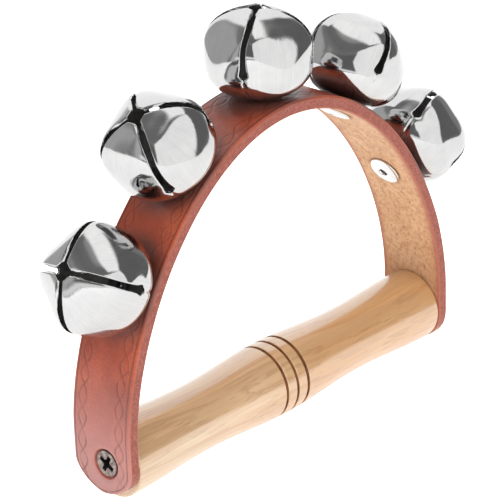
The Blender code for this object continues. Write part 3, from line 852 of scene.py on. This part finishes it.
def add_grip():
    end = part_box("wooden_grip")[1].x
    x = np.unique(np.concatenate([
        np.linspace(0, GROOVED_HALF, 60),
        np.linspace(GROOVED_HALF, end - GRIP_LIP, 60),
    ]))
    r = grip_radius(x, end) - GROOVE_DEPTH * groove_share(x) ** 0.85
    side = [(float(b), float(a)) for a, b in zip(x, r)]
    corner = [(side[-1][0], end - GRIP_LIP), (GRIP_END_RADIUS - 0.05 * MM, end), (0.0, end)]
    lip = rounded(corner, 0.9 * MM, 5)
    upper = side + lip[1:]
    profile = [(radius, -height) for radius, height in upper[:0:-1]] + upper

    def lathe(angle, radius, height):
        chatter = 0.012 * MM * np.sin(height * math.tau / (1.7 * MM) + np.sin(angle * 2))
        oval = 0.05 * MM * np.cos(2 * angle + 0.6)
        return radius + np.where(radius > 5 * MM, chatter + oval, 0.0)

    lying = Matrix.Rotation(math.pi / 2, 4, "Y")
    grip = new_object("turned_grip", turned("grip", profile, 112, lathe), lying)
    pilot = SCREW_THREAD_RADIUS + SEAT_GAP
    floor = -SCREW_LENGTH - SEAT_GAP
    for side in (-1, 1):
        bore = turned("bore", [(0.0, 0.0), (pilot, 0.0), (pilot, floor), (0.0, floor - pilot)], 32)
        carve(grip, bore, screw_frame(side))
    mesh = grip.data
    mesh.set_sharp_from_angle(angle=math.radians(35))
    mesh.materials.append(lacquered_maple())
    mesh.materials.append(groove_dark())
    for face in mesh.polygons:
        face.material_index = int(groove_share(face.center.x) > 0.15)
    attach(grip, "root")
    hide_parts("wooden_grip")


# ---- the bells

def bell_line():
    """(radius, height) rows at a petal's middle from the rivet hole to the mouth, and each row's
    distance along the wall. Rows are closest at the slot's root and at the mouth's lip."""
    seat = [(BELL_HOLE_RADIUS, 0.0)]
    lower = bezier(((BELL_SEAT_RADIUS, 0.0), (11.6 * MM, 0.5 * MM), (BELL_RADIUS, 4.0 * MM),
                    (BELL_RADIUS, BELL_EQUATOR)), np.linspace(0, 1, 400))
    angle = np.linspace(0, math.acos(MOUTH_HALF / BELL_RADIUS), 400)[1:, None]
    rise = BELL_HEIGHT - BELL_EQUATOR
    upper = np.hstack([BELL_RADIUS * np.cos(angle), BELL_EQUATOR + rise * np.sin(angle)])
    line = np.vstack([seat, lower, upper])
    length = np.concatenate([[0], np.cumsum(np.linalg.norm(np.diff(line, axis=0), axis=1))])
    root = np.interp(SLOT_ROOT, line[:, 1], length)
    rows = np.concatenate([
        np.arange(0, root - 0.2 * MM, 0.55 * MM),
        root + np.array([0.0, 0.08, 0.2, 0.35, 0.55, 0.8, 1.05, 1.3]) * MM,
        np.arange(root + 1.7 * MM, length[-1] - 0.75 * MM, 0.6 * MM),
        length[-1] - np.array([0.55, 0.36, 0.22, 0.12, 0.05, 0.0]) * MM,
    ])
    return np.stack([np.interp(rows, length, line[:, k]) for k in (0, 1)], -1), rows


def slot_half_width(height, lift, ease):
    """Half the slot's width: a V at its root, widest just above it, narrow towards the mouth."""
    places = np.array([8.0, 9.2, 10.2, 12.0, 15.0, 20.0, 27.0])
    places[:3] += lift
    places[3] += lift / 2
    widths = np.array([0.0, 1.24, 1.10, 0.86, 0.74, 0.74, 0.92]) * MM * ease
    return np.interp(height, places * MM, widths)


def bell_section(height, angle):
    rise = (height - BELL_EQUATOR) / (BELL_HEIGHT - BELL_EQUATOR)
    power = 2 + (BELL_SQUARENESS - 2) * smooth_step(rise)
    return (abs(np.cos(angle)) ** power + abs(np.sin(angle)) ** power) ** (-1 / power)


def petal_columns():
    """Places across a petal from -1 to 1, closest together at its rolled edges."""
    edge = np.array([0.0, 0.05, 0.12, 0.22, 0.36, 0.55, 0.85]) / 12.7
    plain = np.linspace(0.9, 0.0, 15)
    side = np.concatenate([1 - edge, plain])
    return np.concatenate([-side, side[::-1][1:]])


def lip_distance(along, aside, fine, widths, rows):
    """Distance from each place of a petal to the outline of the slot beside it or the mouth's lip."""
    outline = np.interp(fine, rows, widths)
    start = np.argmax(outline > 0) - 1
    gaps = np.hypot(along[..., None] - fine[start:], aside[..., None] - outline[start:])
    return np.minimum(gaps.min(-1), rows[-1] - along)


def bell_mesh(number):
    """One shell: four petals that part above the slots' roots, pleated where the blank was gathered."""
    line, rows = bell_line()
    radius, height = line[:, :1], line[:, 1:]
    direction = np.gradient(line, axis=0)
    direction /= np.linalg.norm(direction, axis=1)[:, None]
    share = petal_columns()[None, :]
    corner = radius * bell_section(height, math.pi / 4)
    widths = [slot_half_width(height, lift, SLOT_EASE[number]) for lift in SLOT_LIFT[number]]
    fine = np.linspace(np.interp(SLOT_ROOT, height[:, 0], rows), rows[-1], 110)
    sunk = rise(height, 2.0 * MM, 4 * MM) * fade(height, 18 * MM, 9 * MM)
    petals = []
    for petal in range(4):
        seed = number * 10 + petal
        beside = ((petal - 1) % 4, petal)
        drift = [math.radians(SLOT_DRIFT[number][k]) * sunk for k in beside]
        parted = [np.arcsin(np.clip(widths[k] / np.maximum(corner, MM), 0, 0.9)) for k in beside]
        first = -math.pi / 4 + parted[0] + drift[0]
        last = math.pi / 4 - parted[1] + drift[1]
        angle = first + (last - first) * (share + 1) / 2
        phi = angle + petal * math.pi / 2
        reach = radius * bell_section(height, phi)
        point = np.stack([reach * np.cos(phi), reach * np.sin(phi), height + 0 * phi], -1)
        normal = np.stack([direction[:, 1:] * np.cos(phi), direction[:, 1:] * np.sin(phi),
                           -direction[:, :1] + 0 * phi], -1)
        seams = [reach * (parted[0] + angle - first), reach * (parted[1] + last - angle)]
        from_seam = np.minimum(*seams)
        lip = np.minimum(*[lip_distance(rows[:, None] + 0 * phi, seam, fine, widths[k][:, 0], rows)
                           for seam, k in zip(seams, beside)])
        rolled = LIP_ROUND - np.sqrt(LIP_ROUND ** 2 - np.clip(LIP_ROUND - lip, 0, LIP_ROUND) ** 2)
        below = rise(height, 0.8 * MM, 3 * MM) * fade(height, 7.0 * MM, 2.5 * MM)
        pleat = 0.06 * ridge(from_seam, 1.8 * MM, 0.8 * MM)
        pleat = pleat - 0.28 * np.exp(-(from_seam / (0.5 * MM)) ** 2)
        ripple = rumple(point * np.array([1.0, 1.0, 0.45]), 340.0, number)
        gathered = np.exp(-(from_seam / (2.8 * MM)) ** 2) * rise(height, 0.8 * MM, 3 * MM)
        gathered = gathered * fade(height, 8.0 * MM, 3.0 * MM)
        wobble = rumple(point, 70.0, number + 20)
        apart = rise(height, SLOT_ROOT, 12 * MM)
        push = pleat * below + 0.15 * ripple * gathered + 0.06 * wobble
        push = push + 0.12 * math.sin(seed * 2.4) * apart
        push = push * MM * rise(rows[:, None], 4 * MM, 3 * MM) - rolled
        petals.append(point + normal * push[..., None])
    count, columns = petals[0].shape[:2]
    faces = np.concatenate([grid_faces(count, columns) + k * count * columns for k in range(4)])
    vertices = seam_shared(np.stack(petals), [width[:, 0] <= 0 for width in widths])
    return mesh_from("bell", vertices.reshape(-1, 3), faces, weld=2e-6)


def seam_shared(petals, closed):
    """Below each slot's root the edges of the petals beside it meet at their common middle."""
    for k, joined in enumerate(closed):
        following = (k + 1) % 4
        middle = (petals[k, joined, -1] + petals[following, joined, 0]) / 2
        petals[k, joined, -1] = middle
        petals[following, joined, 0] = middle
    return petals


def station_frame(number):
    """Frame on the strap's outer face under a bell: +Z outwards, +X along the arch."""
    joint = JOINTS["bell_%d_swivel" % number]
    outward = Vector(joint["axis"]).normalized()
    along = Vector((outward.z, 0.0, -outward.x)).normalized()
    turn = Matrix((along, outward.cross(along), outward)).transposed().to_4x4()
    return Matrix.Translation(joint["pos_m"]) @ turn


def add_bell(number, inside):
    lift = Matrix.Translation((0.0, 0.0, SEAT_GAP))
    turn = Matrix.Rotation(math.radians(BELL_TURNS[number]), 4, "Z")
    mesh = bell_mesh(number)
    mesh.materials.append(nickel_plate(number, station_frame(number)))
    mesh.materials.append(inside)
    bell = new_object("jingle_bell_%d" % number, mesh, station_frame(number) @ lift @ turn, sharp=60)
    wall = bell.modifiers.new("wall", "SOLIDIFY")
    wall.thickness = BELL_WALL
    wall.offset = -1.0
    wall.use_even_offset = False
    wall.material_offset = 1
    wall.material_offset_rim = 0
    soften = bell.modifiers.new("soften", "BEVEL")
    soften.width = 0.13 * MM
    soften.segments = 2
    soften.limit_method = "ANGLE"
    soften.angle_limit = math.radians(55)
    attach(bell, "bell_%d" % number)
    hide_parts("bell_shell_%d" % number)


def rivet_profile():
    """Closed outline: bore, set tail, shank, wide domed flange."""
    foot = TAIL_FOOT
    top = foot + TAIL_LENGTH
    back = -STRAP_THICKNESS
    dome = [(FLANGE_RADIUS * math.sin(a), back - FLANGE_RIM - (FLANGE_RISE - FLANGE_RIM) * math.cos(a))
            for a in np.linspace(math.radians(82), math.radians(22), 14)]
    outline = [(RIVET_BORE, top), (TAIL_RADIUS * 0.78, top), (TAIL_RADIUS, foot + TAIL_LENGTH * 0.5),
               (TAIL_RADIUS * 0.92, foot), (SHANK_RADIUS, foot), (SHANK_RADIUS, back),
               (FLANGE_RADIUS, back), (FLANGE_RADIUS, back - FLANGE_RIM)]
    outline += dome
    outline += [(RIVET_BORE + 0.45 * MM, back - FLANGE_RISE), (RIVET_BORE, back - FLANGE_RISE + 0.3 * MM)]
    closed = rounded(outline + [(RIVET_BORE, top - 0.4 * MM)], 0.25 * MM, 3)
    return closed + [closed[0]]


def mandrel_profile():
    foot = TAIL_FOOT + TAIL_LENGTH + SEAT_GAP
    head = [(MANDREL_HEAD * math.sin(a), foot + 0.4 * MM + MANDREL_HEAD * 0.6 * math.cos(a))
            for a in np.linspace(0, math.radians(88), 12)]
    tail = -STRAP_THICKNESS - FLANGE_RISE * 0.2
    stem = [(MANDREL_HEAD * 0.9, foot), (MANDREL_RADIUS, foot), (MANDREL_RADIUS, tail),
            (MANDREL_RADIUS * 0.75, tail - 0.25 * MM), (MANDREL_RADIUS * 0.35, tail - 0.12 * MM),
            (0.0, tail - 0.3 * MM)]
    return head + rounded(stem, 0.12 * MM, 2)


def add_rivet(number, bright, dull):
    place = station_frame(number)

    def hammered(angle, radius, height):
        return radius * (1 + 0.004 * np.sin(3 * angle + number) + 0.003 * np.sin(7 * angle + 2 * number))

    rivet = turned("rivet", rivet_profile(), 72, hammered)
    body = new_object("pop_rivet_%d" % number, rivet, place, sharp=35)
    body.data.materials.append(bright)

    def snapped(angle, radius, height):
        torn = 0.12 * np.sin(5 * angle + number) * (height < -STRAP_THICKNESS)
        return radius * (1 + torn)

    mandrel = turned("pin", mandrel_profile(), 40, snapped)
    pin = new_object("rivet_pin_%d" % number, mandrel, place, sharp=35)
    pin.data.materials.append(dull)
    pieces = ((body, "rivet_body_%d", "rivet_steel"), (pin, "rivet_mandrel_%d", "mandrel_steel"))
    for obj, node, slot in pieces:
        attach(obj, "root")
        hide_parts(node % number)


def add_pellet(number, steel):
    """Tumbled steel ball with small flats knocked into it."""
    low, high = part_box("pellet_%d" % number)
    bm = bmesh.new()
    bmesh.ops.create_icosphere(bm, subdivisions=5, radius=PELLET_RADIUS)
    for vertex in bm.verts:
        dent = noise.noise(vertex.co * 420 + Vector((number * 3.3, 0, 0)))
        vertex.co *= 1 + 0.006 * min(dent, 0.1)
    mesh = mesh_of("pellet", bm)
    mesh.materials.append(steel)
    ball = new_object("steel_ball_%d" % number, mesh, Matrix.Translation((low + high) / 2))
    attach(ball, "loose_pellet_%d" % number)
    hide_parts("pellet_%d" % number)


# ---- the screws

def screw_mesh():
    """Countersunk head and a cut helical thread that runs out at the point."""
    face = -SCREW_SUNK
    neck = face - SCREW_HEAD_HEIGHT
    tip = -SCREW_LENGTH
    head = rounded([(0.0, face), (SCREW_HEAD_RADIUS, face), (SCREW_HEAD_RADIUS, face - 0.25 * MM),
                    (SCREW_THREAD_RADIUS, neck), (SCREW_THREAD_RADIUS, neck - 3 * MM)], 0.15 * MM, 3)
    shank = [(SCREW_THREAD_RADIUS, z) for z in np.linspace(neck - 3.1 * MM, tip + 0.2 * MM, 150)]

    def thread(angle, radius, height):
        turn = (height / SCREW_PITCH + angle / math.tau) % 1.0
        crest = np.clip(1 - abs(turn - 0.5) / 0.28, 0, 1) ** 0.8
        cut = rise(neck - 3 * MM, height, 1.5 * MM)
        core = SCREW_THREAD_RADIUS + (SCREW_CORE_RADIUS - SCREW_THREAD_RADIUS) * cut * (1 - crest)
        taper = np.clip((height - tip) / (6 * MM), 0.0, 1.0) ** 0.8
        return np.where(height < neck - 2.9 * MM, core * taper, radius)

    return turned("screw", head + shank + [(0.0, tip)], 64, thread)


def cross_cutter():
    """Phillips driver tip: two crossed wings that narrow downwards, with a round flare in the middle."""
    bm = bmesh.new()
    for turn in (0, 90):
        wing = bmesh.ops.create_cube(bm, size=1.0)["verts"]
        for vertex in wing:
            deep = vertex.co.z < 0
            x = vertex.co.x * (3.8 if deep else 6.2) * MM
            y = vertex.co.y * (1.05 if deep else 1.55) * MM
            z = (-2.0 if deep else 0.4) * MM
            vertex.co = Matrix.Rotation(math.radians(turn), 3, "Z") @ Vector((x, y, z))
    bmesh.ops.create_cone(bm, cap_ends=True, segments=24, radius1=0.8 * MM, radius2=1.5 * MM,
                          depth=2.4 * MM, matrix=Matrix.Translation((0.0, 0.0, -0.85 * MM)))
    bmesh.ops.recalc_face_normals(bm, faces=bm.faces)
    return mesh_of("cross", bm)


def add_screw(side, name, bronze, recess_shade):
    screw = new_object("wood_screw_" + name, screw_mesh())
    turn = Matrix.Rotation(math.radians(CROSS_TURN), 4, "Z")
    carve(screw, cross_cutter(), Matrix.Translation((0, 0, -SCREW_SUNK)) @ turn, crossed=True)
    mesh = screw.data
    mesh.materials.append(bronze)
    mesh.materials.append(recess_shade)
    # Faces down in the cross take the near-black painted shade.
    for face in mesh.polygons:
        middle = face.center
        recessed = middle.xy.length < 3.2 * MM and -2.6 * MM < middle.z < -SCREW_SUNK - 0.02 * MM
        face.material_index = int(recessed)
    mesh.transform(screw_frame(side))
    mesh.set_sharp_from_angle(angle=math.radians(30))
    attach(screw, "root")
    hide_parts("foot_screw_" + name)


# ---- studio

def floor_material():
    """Pale matt paper, lit up a little for the camera so that it meets the white background."""
    n = Nodes("floor")
    seen = n.add("ShaderNodeLightPath").outputs["Is Camera Ray"]
    glow = n.level(seen, 0.0, 1.0, 0.62, 1.0)
    return n.finish(Base_Color=(0.80, 0.80, 0.80), Roughness=0.9, Emission_Color=(1.0, 1.0, 1.0),
                    Emission_Strength=glow)


def add_floor():
    bpy.ops.mesh.primitive_plane_add(size=1.0)
    plane = bpy.context.object
    plane.name = "floor"
    plane.data.materials.append(floor_material())
    place = Matrix.Translation((0.0, 0.0, Vector(CAD_BOX[0]).z - FLOOR_GAP))
    plane.matrix_world = place @ Matrix.Diagonal((FLOOR_SIZE, FLOOR_SIZE, 1.0, 1.0))


def backwards(a, e):
    """From the stage towards a viewer at an azimuth and elevation in radians."""
    return Vector((math.sin(a) * math.cos(e), -math.cos(a) * math.cos(e), math.sin(e)))


def aimed(azimuth, elevation, distance):
    """A frame that looks at the stage's middle from an azimuth and elevation in degrees."""
    back = backwards(math.radians(azimuth), math.radians(elevation))
    turn = back.to_track_quat("Z", "Y").to_matrix().to_4x4()
    return Matrix.Translation(STAGE_MIDDLE + back * distance) @ turn


def add_light(name, azimuth, elevation, distance, size, power):
    light = bpy.data.lights.new(name, "AREA")
    light.shape = "RECTANGLE"
    light.size, light.size_y = size
    light.energy = power
    lamp = linked(name, light)
    lamp.matrix_world = aimed(azimuth, elevation, distance)
    lamp.visible_glossy = False


def add_panel(n, direction, shade, facing, sides, blur, level):
    """Mixes a flat panel far away into the world's shade."""
    turn = aimed(*facing, 0.0).to_3x3()
    right, up, ahead = (dot_product(n, direction, turn.col[k]) for k in range(3))
    left_side, right_side, bottom, top = sides
    across = n.math("DIVIDE", right, ahead)
    high = n.math("DIVIDE", up, ahead)
    inside = n.math("GREATER_THAN", ahead, 0.02)
    for value, low, limit in ((across, -right_side, -left_side), (high, bottom, top)):
        inside = n.math("MULTIPLY", inside, n.level(value, low - blur, low + blur))
        inside = n.math("MULTIPLY", inside, n.level(value, limit + blur, limit - blur))
    return n.mix(inside, shade, (level,) * 3)


def dot_product(n, direction, axis):
    return n.vector_math("DOT_PRODUCT", direction, axis).outputs["Value"]


def add_world():
    """White to the camera; to everything else a grey studio, lighter overhead, with the flat panels."""
    world = bpy.data.worlds.new("studio")
    world.use_nodes = True
    bpy.context.scene.world = world
    n = Nodes(tree=world.node_tree)
    direction = n.add("ShaderNodeTexCoord").outputs["Generated"]
    height = dot_product(n, direction, (0.0, 0.0, 1.0))
    shade = n.ramp(height, [(0.0, 0.28), (0.70, 0.27), (0.86, 0.20),
                            (0.955, 0.22), (0.985, 0.42)])
    for panel in PANELS.values():
        shade = add_panel(n, direction, shade, *panel)
    seen = n.add("ShaderNodeLightPath")
    shade = n.mix(seen.outputs["Is Camera Ray"], shade, (1.0, 1.0, 1.0))
    n.link(shade, world.node_tree.nodes["Background"].inputs["Color"])


def add_studio():
    add_world()
    bpy.context.scene.view_settings.view_transform = "Standard"
    add_floor()
    add_light("key", -80, 32, 1.2, (0.6, 0.6), 6.0)
    add_light("fill", 20, 60, 1.4, (0.9, 0.9), 2.0)


def add_camera():
    back = backwards(CAMERA_AZIMUTH, CAMERA_ELEVATION)
    right = Vector((0, 0, 1)).cross(back).normalized()
    up = back.cross(right)
    level = Matrix((right, up, back)).transposed()
    rolled = level @ Matrix.Rotation(CAMERA_ROLL, 3, "Z")
    data = bpy.data.cameras.new("camera")
    data.lens = CAMERA_LENS
    data.sensor_width = 36.0
    data.clip_start = 0.01
    camera = linked("camera", data)
    camera.matrix_world = Matrix.Translation(CAMERA_TARGET + back * CAMERA_DISTANCE) @ rolled.to_4x4()
    bpy.context.scene.camera = camera


add_camera()
add_studio()
add_strap()
add_grip()
INSIDE = bell_inside()
BRIGHT = bright_steel("rivet_steel", (0.80, 0.80, 0.80), 0.16)
DULL = bright_steel("pin_steel", (0.16, 0.16, 0.165), 0.5)
BALL = bright_steel("ball_steel", (0.22, 0.22, 0.225), 0.45)
BRONZE = antique_screw()
for bell_number in BELL_TURNS:
    add_bell(bell_number, INSIDE)
    add_rivet(bell_number, BRIGHT, DULL)
    add_pellet(bell_number, BALL)
RECESS_SHADE = screw_recess_shade()
add_screw(-1, "left", BRONZE, RECESS_SHADE)
add_screw(1, "right", BRONZE, RECESS_SHADE)
